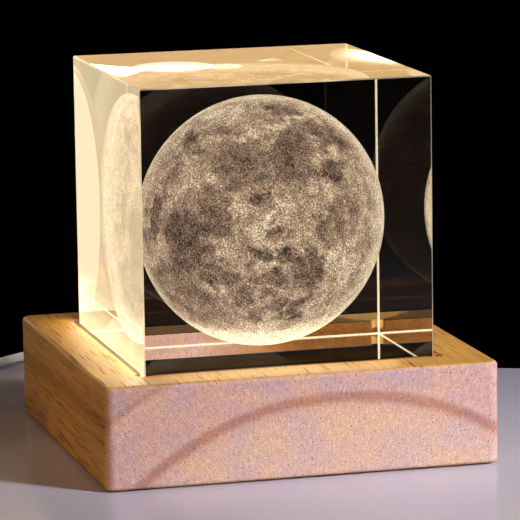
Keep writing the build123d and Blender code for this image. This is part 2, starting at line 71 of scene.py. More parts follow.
def newMaterial(name):
    material = bpy.data.materials.new(name)
    material.use_nodes = True
    material.node_tree.nodes.clear()
    return material, material.node_tree


def dress(piece, *materials):
    piece.data.materials.clear()
    for material in materials:
        piece.data.materials.append(material)


# The nodes that come up most, each as its one output: arithmetic, the product of two colours, a blend of two
# colours, one range carried over to another, a colour ramp, noise, and coordinates scaled and shifted
def maths(tree, operation, *values, **settings):
    inputs = dict(enumerate(values))
    return addNode(tree, "ShaderNodeMath", inputs, operation=operation, **settings).outputs[0]


def product(tree, first, second):
    return addNode(tree, "ShaderNodeVectorMath", {0: first, 1: second}, operation="MULTIPLY").outputs[0]


def blend(tree, share, first, second):
    return addNode(tree, "ShaderNodeMix", {0: share, 6: first, 7: second}, data_type="RGBA").outputs[2]


def mapRange(tree, value, fromMin, fromMax, toMin, toMax, **settings):
    return addNode(tree, "ShaderNodeMapRange", {
        "Value": value, "From Min": fromMin, "From Max": fromMax, "To Min": toMin, "To Max": toMax,
    }, **settings).outputs[0]


def colourRamp(tree, value, stops):
    return addNode(tree, "ShaderNodeValToRGB", {"Fac": value}, stops=stops).outputs["Color"]


def noise(tree, place, scale, detail=2.0, roughness=0.5):
    return addNode(tree, "ShaderNodeTexNoise", {
        "Vector": place, "Scale": scale, "Detail": detail, "Roughness": roughness}).outputs["Fac"]


def mapping(tree, place, scale, shift=(0, 0, 0)):
    return addNode(tree, "ShaderNodeMapping", {"Vector": place, "Location": shift, "Scale": scale}).outputs[0]


# Three numbers of a vector, by name
def split(tree, vector):
    return addNode(tree, "ShaderNodeSeparateXYZ", {"Vector": vector}).outputs


# Closes a material with its surface
def closeTree(tree, values):
    shader = addNode(tree, "ShaderNodeBsdfPrincipled", values)
    addNode(tree, "ShaderNodeOutputMaterial", {"Surface": shader.outputs["BSDF"]})


# Puts a grid of points (rows, columns, 3), in millimetres, into a closed mesh. The columns go round, and each
# end is closed by its pole point, or without poles by one flat face.
def gridPiece(name, points, poles=None, smooth=True):
    rows, columns = points.shape[:2]
    index = np.arange(rows * columns).reshape(rows, columns)
    beside = np.roll(index, -1, axis=1)
    faces = np.stack([index[:-1], beside[:-1], beside[1:], index[1:]], axis=-1).reshape(-1, 4).tolist()
    vertices = points.reshape(-1, 3)
    if poles is None:
        faces += [index[0][::-1].tolist(), index[-1].tolist()]
    else:
        vertices = np.vstack([vertices, poles])
        first, last = np.full(columns, rows * columns), np.full(columns, rows * columns + 1)
        faces += np.stack([beside[0], index[0], first], axis=-1).tolist()
        faces += np.stack([index[-1], beside[-1], last], axis=-1).tolist()
    mesh = bpy.data.meshes.new(name)
    mesh.from_pydata((vertices * mm).tolist(), [], faces)
    mesh.polygons.foreach_set("use_smooth", np.full(len(faces), smooth))
    mesh.update()
    piece = bpy.data.objects.new(name, mesh)
    bpy.context.scene.collection.objects.link(piece)
    return piece


# Camera: fitted to the corners of the glass and the wood in the photograph
view = {
    "yaw": 14.991, "pitch": 9.897, "roll": -0.865,  # degrees
    "place": (-195.44, -737.51, 170.48),
    "lens": 259.3, "sensor": 36,
    "near": 50, "far": 20000,  # nothing nearer or farther is drawn
}


# Looks along yaw from +Y towards +X and down by pitch, then rolls about the line of sight
def makeCamera():
    yaw, pitch, roll = (math.radians(view[name]) for name in ("yaw", "pitch", "roll"))
    forward = Vector((math.sin(yaw) * math.cos(pitch), math.cos(yaw) * math.cos(pitch), -math.sin(pitch)))
    level = Vector((math.cos(yaw), -math.sin(yaw), 0))
    above = level.cross(forward)
    right = math.cos(roll) * level + math.sin(roll) * above
    up = math.cos(roll) * above - math.sin(roll) * level
    data = bpy.data.cameras.new("photographView")
    data.lens = view["lens"]
    data.sensor_width = view["sensor"]
    data.clip_start = view["near"] * mm
    data.clip_end = view["far"] * mm
    camera = bpy.data.objects.new("photographView", data)
    camera.matrix_world = Matrix.Translation(Vector(view["place"]) * mm) @ Matrix(
        (right, up, -forward)).transposed().to_4x4()
    bpy.context.scene.collection.objects.link(camera)
    bpy.context.scene.camera = camera


makeCamera()
bpy.context.scene.view_settings.view_transform = "Standard"
print("camera placed")


# Lead: two free stretches, one each side of the switch
lead = {
    "diameter": 2.0, "roundness": 4, "stepsPerPoint": 5,
    "lampRoute": [
        (0, 50.1, 6.0), (0, 58.6, 6.0), (-3, 71, 5.6), (-12, 84, 4.4), (-27, 92, 2.4), (-43, 83, 1.05),
        (-53.5, 72.5, 1.3), (-58, 64, 4.2), (-58, 54.5, 4.2),
    ],
    "linkRoute": [(-58, 35.5, 4.2), (-58, 27.5, 4.2), (-58, 19.5, 1.55), (-58, 12, 1.55)],
    "tailRoute": [
        (-88.95, 12, 9.35), (-88.95, 18, 9.35), (-87.3, 26, 6.6), (-85.25, 34.5, 4.1), (-85.25, 41.5, 4.1),
    ],
    "lampLength": 104.7, "restLength": 898.4,  # of the CAD model's two stretches
}
coil = {
    "x": -73.475, "y": 10.0, "bottom": 1.55,
    "innerRadius": 8.1, "pitch": 2.95, "layerStep": 2.6,
    "layers": 4, "halfTurns": 6, "pointsPerHalfTurn": 8,
}


# The spare lead's crossings of the coil's middle line, spiralling in and out by turns, layer on layer,
# with the points of a half circle between each two
def coilPoints():
    crossings = []
    for index in range(coil["layers"] * coil["halfTurns"]):
        layer, step = divmod(index, coil["halfTurns"])
        stepsOut = step if layer % 2 else coil["halfTurns"] - 1 - step
        side = -1 if index % 2 else 1
        across = coil["x"] + side * (coil["innerRadius"] + stepsOut * coil["pitch"] / 2)
        crossings.append((across, coil["bottom"] + layer * coil["layerStep"]))
    points = []
    for index, (here, there) in enumerate(zip(crossings, crossings[1:])):
        forward = 1 if index % 2 else -1
        for step in range(coil["pointsPerHalfTurn"]):
            part = step / coil["pointsPerHalfTurn"]
            middle, radius = (here[0] + there[0]) / 2, abs(there[0] - here[0]) / 2
            side = 1 if here[0] > there[0] else -1
            points.append((
                middle + side * radius * math.cos(math.pi * part),
                coil["y"] + forward * radius * math.sin(math.pi * part),
                here[1] + (there[1] - here[1]) * part,
            ))
    points.append((crossings[-1][0], coil["y"], crossings[-1][1]))
    return points


# A round lead along its points, as one smooth curve
def makeLead(name, points):
    data = bpy.data.curves.new(name, "CURVE")
    data.dimensions = "3D"
    data.bevel_depth = 1.0  # times each point's radius
    data.bevel_resolution = lead["roundness"]
    data.resolution_u = lead["stepsPerPoint"]
    data.use_fill_caps = True
    spline = data.splines.new("NURBS")
    spline.points.add(len(points) - 1)
    places = np.column_stack([np.array(points) * mm, np.ones(len(points))])
    spline.points.foreach_set("co", places.ravel())
    spline.points.foreach_set("radius", np.full(len(points), lead["diameter"] / 2 * mm))
    spline.order_u = 3
    spline.use_endpoint_u = True
    piece = bpy.data.objects.new(name, data)
    bpy.context.scene.collection.objects.link(piece)
    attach(piece, "base")
    return piece


lampLead = makeLead("leadLampToSwitch", lead["lampRoute"])
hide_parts("usb_cable")
restLead = makeLead("leadSwitchToPlug", lead["linkRoute"] + coilPoints() + lead["tailRoute"])
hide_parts("cable_link", "cable_coil", "cable_tail")
print("lead laid:", len(restLead.data.splines[0].points), "points in the coiled stretch")


# Table top, lamps and world
stage = {
    "farPoint": (73.8, 51.0), "turn": -25.2,  # a point of the table's far edge, and its angle to +X
    "left": 900.0, "right": 800.0, "depth": 900.0, "edge": 1.5, "edgeSteps": 5, "thickness": 18.0,
    "cloud": (6.0, 3.0), "colours": [(0.35, "#c4c0d0"), (0.65, "#ccc8d9")],  # noise's scale per metre, detail
    "grainScale": 900.0, "grainStrength": 0.03, "grainHeight": 0.0002,  # in metres
    "roughness": 0.16, "ior": 1.5,
    "soft": "#2c2824", "dark": "#010101",  # the world as diffuse light, and as the camera and mirrors see it
}
# lamps: shape, place, what they point at, width, height, power in watts, colour, spread in degrees, and which
# rays see them
lamps = {
    "keyLamp": ("RECTANGLE", (640, -620, 460), (62, -50, 12), 180, 180, 0.217, "#f1f7ff", 17,
                ("diffuse", "transmission")),
    # the same lamp's sheen, kept low so that the wood and the table don't glare from behind
    "keySheen": ("RECTANGLE", (640, -620, 460), (62, -50, 12), 180, 180, 0.04, "#f1f7ff", 17, ("glossy",)),
    "softFill": ("RECTANGLE", (-500, -900, 600), (0, 0, 30), 500, 500, 0.24, "#ffdcbc", 40, ("diffuse",)),
    # three cards behind the object, which the top and the left side of the glass mirror
    "cardAbove": ("RECTANGLE", (85, 330, 122.8), (0, 0, 77.8), 190, 44, 0.031, "#ffd08a", 180, ("glossy",)),
    "cardLeft": ("RECTANGLE", (-64, 118, 33), (-30, 0, 37), 34, 75, 0.0066, "#ffe6b8", 120, ("glossy",)),
    "cardLeftBack": ("ELLIPSE", (-47, 117, 31.5), (-20, 0, 36), 14.5, 66, 0.00085, "#fff6d8", 120,
                     ("glossy",)),
    # two brighter streaks in the top, the first with a core
    "streakLeft": ("ELLIPSE", (64.5, 329, 118.6), (-8, 5, 77.8), 24, 3.0, 0.00018, "#fffaf0", 180,
                   ("glossy",)),
    "streakCore": ("ELLIPSE", (63.5, 328, 118.6), (-10, 5, 77.8), 17, 1.6, 0.00008, "#fffaf0", 180,
                   ("glossy",)),
    "streakMiddle": ("ELLIPSE", (80, 329, 119.2), (2, 4, 77.8), 11, 1.6, 0.000035, "#fffaf0", 180,
                     ("glossy",)),
    # what the lit glass sheds on the wood beside it
    "glowLeft": ("RECTANGLE", (-31.6, 1, 24.6), (-38, 1, 22.2), 64, 6, 0.0028, "#fff2cc", 170,
                 ("diffuse", "glossy")),
    "glowFront": ("RECTANGLE", (-6, -31.2, 24), (-6, -38, 22), 56, 4, 0.0011, "#fff2d0", 170,
                  ("diffuse", "glossy")),
    "glowSeam": ("RECTANGLE", (-30.6, 0, 23.4), (-30.6, 0, 20), 1.0, 60, 0.0013, "#fff2cc", 120,
                 ("diffuse",)),
    # warm light on the wood's left side
    "sideFill": ("RECTANGLE", (-300, -180, 70), (-40, 2, 8), 60, 60, 0.0019, "#ffd8a6", 17, ("diffuse",)),
    # and light on the lead behind the base
    "glowLead": ("RECTANGLE", (-80, 60, 70), (-37, 90, 2), 20, 20, 0.00028, "#f4f4ff", 24, ("diffuse",)),
}


# A flat slab: a rectangle whose rim is drawn through a quarter circle down to its underside, then turned
def makeTable():
    turns = np.linspace(0, np.pi / 2, stage["edgeSteps"])
    inset = np.append(stage["edge"] * (1 - np.sin(turns)), 0.0)[::-1, None]
    level = np.append(stage["edge"] * (np.cos(turns) - 1), -stage["thickness"])[::-1]
    left, right, front = -stage["left"], stage["right"], -stage["depth"]
    along = np.array([left, right, right, left]) + inset * [1, -1, -1, 1]
    back = np.array([front, front, 0, 0]) + inset * [1, 1, -1, -1]
    turn = math.radians(stage["turn"])
    x = stage["farPoint"][0] + along * math.cos(turn) - back * math.sin(turn)
    y = stage["farPoint"][1] + along * math.sin(turn) + back * math.cos(turn)
    points = np.stack([x, y, np.repeat(level[:, None], 4, axis=1)], axis=-1)
    table = gridPiece("tableTop", points, smooth=False)
    return table


# Satin-lacquered board: pale lavender grey with a soft mirror in it
def lacquerTable():
    material, tree = newMaterial("satin lacquered table top")
    place = addNode(tree, "ShaderNodeTexCoord").outputs["Object"]
    colour = colourRamp(tree, noise(tree, place, *stage["cloud"]), stage["colours"])
    bump = addNode(tree, "ShaderNodeBump", {
        "Height": noise(tree, place, stage["grainScale"]), "Strength": stage["grainStrength"],
        "Distance": stage["grainHeight"]})
    closeTree(tree, {"Base Color": colour, "Roughness": stage["roughness"], "IOR": stage["ior"],
                     "Normal": bump.outputs["Normal"]})
    return material


def makeLamp(name, shape, place, target, width, height, power, colour, spread, seenBy):
    data = bpy.data.lights.new(name, "AREA")
    data.shape = shape
    data.size = width * mm
    data.size_y = height * mm
    data.energy = power
    data.color = linear(colour)[:3]
    data.spread = math.radians(spread)
    lamp = bpy.data.objects.new(name, data)
    lamp.location = Vector(place) * mm
    lamp.rotation_euler = (Vector(target) * mm - lamp.location).to_track_quat("-Z", "Y").to_euler()
    lamp.visible_camera = False
    for kind in ("diffuse", "glossy", "transmission"):
        setattr(lamp, "visible_" + kind, kind in seenBy)
    bpy.context.scene.collection.objects.link(lamp)


# Plain soft grey for diffuse light; black where the camera, a mirror or the glass looks at it
def makeWorld():
    world = bpy.data.worlds.new("darkStudio")
    bpy.context.scene.world = world
    world.use_nodes = True
    tree = world.node_tree
    tree.nodes.clear()
    ray = addNode(tree, "ShaderNodeLightPath").outputs
    seen = maths(tree, "MAXIMUM", ray["Is Camera Ray"], ray["Is Glossy Ray"])
    seen = maths(tree, "MAXIMUM", seen, ray["Is Transmission Ray"])
    soft = addNode(tree, "ShaderNodeBackground", {"Color": linear(stage["soft"]), "Strength": 1.0})
    dark = addNode(tree, "ShaderNodeBackground", {"Color": linear(stage["dark"]), "Strength": 1.0})
    mix = addNode(tree, "ShaderNodeMixShader", {0: seen, 1: soft.outputs[0], 2: dark.outputs[0]})
    addNode(tree, "ShaderNodeOutputWorld", {"Surface": mix.outputs[0]})


dress(makeTable(), lacquerTable())
for name, values in lamps.items():
    makeLamp(name, *values)
makeWorld()
print("stage set")


# Glass cube
glass = {
    "side": 60.0, "low": 18.5, "high": 77.9, "bevel": 0.24,
    "ior": 1.52,
    "tintScale": 30.0, "tint": [(0.3, "#fdfefd"), (0.7, "#ffffff")],
    # painted glow for light that spills up the left side: its top, its colour, and what counts as on that
    # side
    "spillTop": 36.0, "paintedSpill": "#ffedba", "onFace": 0.01,
    # ground edges: grit, colours of their painted glow, and that glow as places from and to, then strengths
    # there
    "gritScale": 1500.0, "gritGlow": [(0.3, "#e8c898"), (0.7, "#fff0cc")], "edge": "#fff8ec",
    "edgeRoughness": 0.3, "edgeClearness": 0.9,
    "backGlow": (-29, 25, 0.14, 0.85), "lowGlow": 0.22, "leftGlow": (-29.9, -29.5, 0.4, 0.0),
}


# Eight corners of a block; its bevels are cut by the modifier
def makeGlass():
    half = glass["side"] / 2
    ring = np.array([(-half, -half), (half, -half), (half, half), (-half, half)])
    rows = [np.column_stack([ring, np.full(4, level)]) for level in (glass["low"], glass["high"])]
    piece = gridPiece("glassCube", np.stack(rows), smooth=False)
    bevel = piece.modifiers.new("groundEdges", "BEVEL")
    bevel.width = glass["bevel"] * mm
    bevel.segments = 1
    bevel.limit_method = "NONE"
    bevel.material = 1
    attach(piece, "crystal")
    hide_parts("crystal_cube")
    return piece


# K9 optical glass, polished: fully clear, so it shows as what it bends and mirrors, apart from a painted glow
# low on its left side
def polishedGlass():
    material, tree = newMaterial("polished K9 optical glass")
    place = addNode(tree, "ShaderNodeTexCoord").outputs["Object"]
    tint = colourRamp(tree, noise(tree, place, glass["tintScale"]), glass["tint"])
    # painted glow for light that spills up the left side from the seat, seen from outside only
    spot = split(tree, mapping(tree, place, perMetre))
    rise = mapRange(tree, spot["Z"], glass["low"], glass["spillTop"], 1.0, 0.0,
                    interpolation_type="SMOOTHERSTEP")
    left = maths(tree, "LESS_THAN", spot["X"], glass["onFace"] - glass["side"] / 2)
    paintedSpill = maths(tree, "MULTIPLY", rise, left)
    within = addNode(tree, "ShaderNodeNewGeometry").outputs["Backfacing"]
    paintedSpill = maths(tree, "SUBTRACT", paintedSpill, within, use_clamp=True)
    closeTree(tree, {
        "Base Color": tint, "Roughness": 0.0, "IOR": glass["ior"], "Transmission Weight": 1.0,
        "Emission Color": linear(glass["paintedSpill"]), "Emission Strength": paintedSpill})
    return material


# The same glass where its edges are ground: frosted, with a painted glow for the lamp's light that they
# gather into a pale line, which is brightest at the back, on the left and down by the seat
def groundGlass():
    material, tree = newMaterial("ground edge of optical glass")
    place = addNode(tree, "ShaderNodeTexCoord").outputs["Object"]
    glow = colourRamp(tree, noise(tree, place, glass["gritScale"]), glass["gritGlow"])
    spot = split(tree, mapping(tree, place, perMetre))
    # painted glow, stronger at the back, low down and on the left
    back = mapRange(tree, spot["Y"], *glass["backGlow"])
    low = mapRange(tree, spot["Z"], glass["low"], glass["spillTop"], glass["lowGlow"], 0.0)
    left = mapRange(tree, spot["X"], *glass["leftGlow"])
    strength = maths(tree, "ADD", maths(tree, "ADD", back, low), left)
    closeTree(tree, {
        "Base Color": linear(glass["edge"]), "Roughness": glass["edgeRoughness"], "IOR": glass["ior"],
        "Transmission Weight": glass["edgeClearness"], "Emission Color": glow, "Emission Strength": strength})
    return material


dress(makeGlass(), polishedGlass(), groundGlass())
print("glass made")


# Moon: a shell of laser marks in the glass
moon = {
    "radius": 25.7, "middle": (-0.5, 0, 47.4),
    "rings": 250, "columns": 300, "crowding": 0.28,  # the rings draw together on the side that is seen
    "front": (-0.1676, -0.979, 0.113),  # the side that the photograph shows, which carries the dark plains
    # tone of the ground between them, and what the plains take from it and the uplands add
    "ground": 0.67, "plainDrop": 0.36, "uplandRise": 0.2,
    # plains and uplands: across, up, half width, half height, turn in degrees, depth; in radii of the ball
    "plains": [
        (0.185, 0.865, 0.115, 0.075, -8, 0.85), (0.42, 0.72, 0.12, 0.07, -20, 0.6),
        (0.56, 0.62, 0.16, 0.09, -38, 0.85), (0.25, 0.5, 0.17, 0.2, -20, 0.75),
        (-0.2, -0.05, 0.06, 0.06, 0, 0.5), (0.33, 0.33, 0.06, 0.08, 0, 0.5),
        (0.445, 0.31, 0.06, 0.06, 0, 0.6), (0.6, 0.355, 0.07, 0.07, 0, 0.75),
        (-0.16, 0.4, 0.22, 0.16, -15, 0.75), (-0.1, 0.565, 0.12, 0.03, 0, 0.6),
        (-0.53, 0.63, 0.08, 0.08, 0, 0.75), (-0.25, 0.68, 0.1, 0.05, -15, 0.6),
        (-0.7, 0.36, 0.05, 0.11, -33, 0.6), (-0.8, 0.18, 0.045, 0.12, -24, 0.8),
        (-0.87, -0.04, 0.04, 0.12, -14, 0.75), (-0.6, -0.06, 0.2, 0.19, 0, 1.0),
        (-0.36, -0.02, 0.14, 0.12, 0, 0.75), (-0.44, 0.17, 0.2, 0.11, 0, 0.5),
        (-0.235, 0.02, 0.04, 0.06, 0, 0.8), (-0.26, 0.16, 0.05, 0.04, 0, 0.6),
        (-0.55, -0.27, 0.18, 0.12, -15, 0.75), (-0.3, -0.43, 0.12, 0.07, -20, 0.75),
        (-0.72, -0.4, 0.12, 0.2, 25, 0.5), (-0.5, -0.64, 0.22, 0.15, -30, 0.45),
        (0.0, 0.13, 0.1, 0.06, 0, 0.75), (0.1, -0.07, 0.08, 0.035, 0, 0.6),
        (-0.015, -0.24, 0.1, 0.06, 15, 0.85), (0.37, -0.41, 0.12, 0.14, 0, 0.9),
        (0.17, -0.31, 0.12, 0.04, -15, 0.75), (0.07, -0.47, 0.12, 0.08, 0, 0.7),
        (-0.17, -0.56, 0.1, 0.09, -25, 0.6), (-0.08, -0.74, 0.04, 0.09, -35, 0.55),
        (0.08, -0.65, 0.08, 0.05, 0, 0.65), (0.31, -0.64, 0.12, 0.035, 10, 0.7),
        (0.21, -0.76, 0.09, 0.055, 10, 0.8), (0.51, -0.06, 0.06, 0.15, -12, 0.6),
        (0.62, 0.0, 0.04, 0.14, -5, 0.5), (0.73, 0.05, 0.035, 0.2, 5, 0.45),
    ],
    "uplands": [
        (-0.06, 0.66, 0.1, 0.05, 20, 0.5), (0.3, 0.77, 0.16, 0.03, 14, 0.7),
        (0.485, 0.475, 0.11, 0.06, 0, 0.6), (0.365, 0.22, 0.07, 0.09, 0, 0.65),
        (0.54, 0.22, 0.08, 0.06, 0, 0.5), (-0.19, 0.08, 0.05, 0.13, 0, 0.5),
        (0.2, 0.1, 0.09, 0.06, 0, 0.5), (0.03, -0.02, 0.09, 0.05, 0, 0.5),
        (0.17, -0.2, 0.12, 0.05, 0, 0.5), (-0.24, -0.29, 0.1, 0.06, 0, 0.5),
        (-0.52, 0.31, 0.14, 0.06, 10, 0.5), (-0.8, -0.17, 0.05, 0.12, 15, 0.5),
        (-0.3, -0.55, 0.08, 0.03, 0, 0.5), (0.02, -0.6, 0.1, 0.03, -10, 0.4),
        (0.03, -0.775, 0.05, 0.06, 0, 0.5), (-0.26, 0.87, 0.16, 0.08, 15, 0.6),
        (0.64, -0.42, 0.19, 0.15, 0, 0.45), (0.35, -0.8, 0.12, 0.05, 0, 0.5),
        (0.0, -0.36, 0.1, 0.03, 0, 0.5),
    ],
    "blur": 9,  # how sharply their rims fall off
    # waves that bend the rims: height, length, and the seeds across and up
    "bends": [(0.022, 0.35, 3, 5), (0.018, 0.12, 4, 6), (0.01, 0.05, 7, 8)],
    # waves in the tone: height, length and seed
    "rough": [(0.03, 0.3, 11), (0.035, 0.13, 12)],
    # the young crater: its rays, its lip and its bowl
    "crater": {
        "across": 0.645, "up": -0.49, "radius": 0.036,
        "rayTone": 0.07, "rayReach": 0.5, "rayWidth": 0.09, "rayBreaks": 0.3, "raySeed": 21,
        "lipTone": 0.12, "lipWidth": 0.012, "bowlTone": 0.15, "bowlWidth": 0.02,
    },
    # the paler rim, a painted glow, with painted shade that makes it darker on the left and dark on the side
    # that isn't seen
    "paintedRim": {
        "start": 0.44, "lean": 0.07, "width": 0.26, "tone": 0.9, "rough": 0.5, "left": 0.06,
        "backStart": -0.1, "backWidth": 0.3, "backShade": 0.45,
    },
    # painted glow for the light that rises from the window below
    "glow": {"start": 0.73, "width": 0.22, "tone": 0.45, "strength": 0.5},
    "strength": 0.95,
    # grain of single marks, drawn 0.4 mm apart so that they show, though real ones are closer, and patches of
    # them: scale per metre, detail, roughness; noise from and to, tone from and to
    "grain": (2900.0, 2.0, 0.8), "grainTone": (0.3, 0.7, -0.46, 0.38),
    "patches": (380.0, 4.0, 0.7), "patchTone": (0.35, 0.65, -0.09, 0.09),
    "colours": [
        (0.0, "#1f1611"), (0.16, "#45362b"), (0.36, "#755f50"), (0.56, "#9c806a"), (0.76, "#c4a283"),
        (0.9, "#ecd4a8"), (1.0, "#fcf3d3"),
    ],
    "dim": 0.08,  # what the marks scatter of other light is little beside the lamp's own
    "roughness": 0.9, "ior": 1.45,
}


# The moon's own directions as rows: across, up and towards the side that is seen
def moonAxes():
    front = Vector(moon["front"]).normalized()
    right = front.cross(Vector((0, 0, -1))).normalized()
    return np.array([right, right.cross(-front), front])


# A sphere: rings about the axis that is seen, closer together on that side, with a pole at each end
def makeMoon():
    part = np.linspace(1, 0, moon["rings"] + 2)[1:-1, None]
    fromFront = np.pi * ((1 - moon["crowding"]) * part + moon["crowding"] * part**2)
    turn = np.linspace(0, 2 * np.pi, moon["columns"], endpoint=False)
    local = np.stack([np.sin(fromFront) * np.cos(turn), np.sin(fromFront) * np.sin(turn),
                      np.cos(fromFront) + 0 * turn], axis=-1)
    axes = moonAxes()
    middle = np.array(moon["middle"])
    front = axes[2] * moon["radius"]
    points = local @ axes * moon["radius"] + middle
    piece = gridPiece("moonMarks", points, poles=[middle - front, middle + front])
    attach(piece, "crystal")
    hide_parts("engraved_moon")
    return piece


# Smooth random field: many plane waves, 0.7 to 1.4 of one length, directions and phases from a fixed seed
def waves(points, length, seed, count=40):
    source = np.random.default_rng(seed)
    ways = source.normal(size=(count, 3))
    ways /= np.linalg.norm(ways, axis=1, keepdims=True) * (length * source.uniform(0.7, 1.4, (count, 1)))
    phases = source.uniform(0, 2 * np.pi, count)
    return np.cos(points @ ways.T * 2 * np.pi + phases).sum(1) / math.sqrt(count / 2)


# How deep each point lies in a list of turned ellipses, whose rims fall off by a logistic curve
def inside(across, up, spots):
    total = np.zeros_like(across)
    for x, y, halfWidth, halfHeight, turn, depth in spots:
        turn = math.radians(turn)
        along = (across - x) * math.cos(turn) + (up - y) * math.sin(turn)
        beside = (up - y) * math.cos(turn) - (across - x) * math.sin(turn)
        reach = np.hypot(along / halfWidth, beside / halfHeight)
        total = np.maximum(total, depth / (1 + np.exp((reach - 1) * moon["blur"])))
    return total


# What the young crater adds to the tone: rays that fade outwards by an exponential, and its lip and its bowl
# as two bell curves of the distance from its middle
def craterTone(local):
    crater = moon["crater"]
    across, up = local[:, 0] - crater["across"], local[:, 1] - crater["up"]
    reach = np.hypot(across, up)
    angle = np.arctan2(up, across)
    around = np.column_stack([np.cos(angle), np.sin(angle), crater["rayBreaks"] * reach])
    streaks = waves(around, crater["rayWidth"], crater["raySeed"])
    rays = crater["rayTone"] * streaks * np.exp(-reach / crater["rayReach"]) * (reach > crater["radius"])
    lip = crater["lipTone"] * np.exp(-((reach - crater["radius"]) / crater["lipWidth"]) ** 2)
    return rays + (lip - crater["bowlTone"] * np.exp(-(reach / crater["bowlWidth"]) ** 2))


# Tone of the marks, 0 brown to 1 cream: plains, uplands and the young crater on the side that is seen, a
# paler rim of painted glow and shade, and waves over everything. The glow is painted light that rises from
# the window below.
def paintMoon(piece):
    place = np.empty(len(piece.data.vertices) * 3)
    piece.data.vertices.foreach_get("co", place)
    unit = (place.reshape(-1, 3) / mm - np.array(moon["middle"])) / moon["radius"]
    local = unit @ moonAxes().T
    seen = local[:, 2] > 0
    across, up = local[:, 0], local[:, 1]
    for height, length, seedAcross, seedUp in moon["bends"]:
        across = across + height * waves(unit, length, seedAcross)
        up = up + height * waves(unit, length, seedUp)
    rough = sum(height * waves(unit, length, seed) for height, length, seed in moon["rough"])
    tone = moon["ground"] - moon["plainDrop"] * inside(across, up, moon["plains"]) * seen + rough
    tone += moon["uplandRise"] * inside(across, up, moon["uplands"]) * seen
    tone += craterTone(local) * seen
    edge = moon["paintedRim"]
    # painted glow towards the rim, with painted shade on its left and on the back
    paintedRim = np.clip((edge["start"] + edge["lean"] * local[:, 0] - local[:, 2]) / edge["width"], 0, 1)
    back = np.clip((edge["backStart"] - local[:, 2]) / edge["backWidth"], 0, 1)
    rimTone = edge["tone"] + edge["rough"] * rough - edge["backShade"] * back
    rimTone += edge["left"] * np.minimum(local[:, 0], 0)
    tone = tone * (1 - paintedRim) + rimTone * paintedRim
    # painted glow, brighter towards the bottom
    low = np.clip((-unit[:, 2] - moon["glow"]["start"]) / moon["glow"]["width"], 0, 1)
    tone = tone + low * moon["glow"]["tone"]
    for name, values in (("markTone", np.clip(tone, 0, 1)), ("markGlow", low)):
        layer = piece.data.attributes.new(name, "FLOAT", "POINT")
        layer.data.foreach_set("value", values.astype(np.float32))


# Laser marks, tiny cracks in the glass that scatter the lamp's warm light, here painted in as their own glow:
# cream where they lie close, brown where they are few, with the grain of single marks
def laserMarks():
    material, tree = newMaterial("laser marks in glass")
    place = addNode(tree, "ShaderNodeTexCoord").outputs["Object"]
    tones = addNode(tree, "ShaderNodeAttribute", attribute_name="markTone").outputs["Fac"]
    glow = addNode(tree, "ShaderNodeAttribute", attribute_name="markGlow").outputs["Fac"]
    grain = mapRange(tree, noise(tree, place, *moon["grain"]), *moon["grainTone"])
    patches = mapRange(tree, noise(tree, place, *moon["patches"]), *moon["patchTone"])
    mixed = maths(tree, "ADD", maths(tree, "ADD", tones, grain), patches)
    colour = colourRamp(tree, mixed, moon["colours"])
    strength = maths(tree, "MULTIPLY_ADD", glow, moon["glow"]["strength"], moon["strength"])
    closeTree(tree, {
        "Base Color": product(tree, colour, [moon["dim"]] * 3), "Roughness": moon["roughness"],
        "IOR": moon["ior"], "Specular IOR Level": 0.0, "Emission Color": colour,
        "Emission Strength": strength})
    return material


moonBall = makeMoon()
paintMoon(moonBall)
dress(moonBall, laserMarks())
print("moon marked:", len(moonBall.data.polygons), "faces")


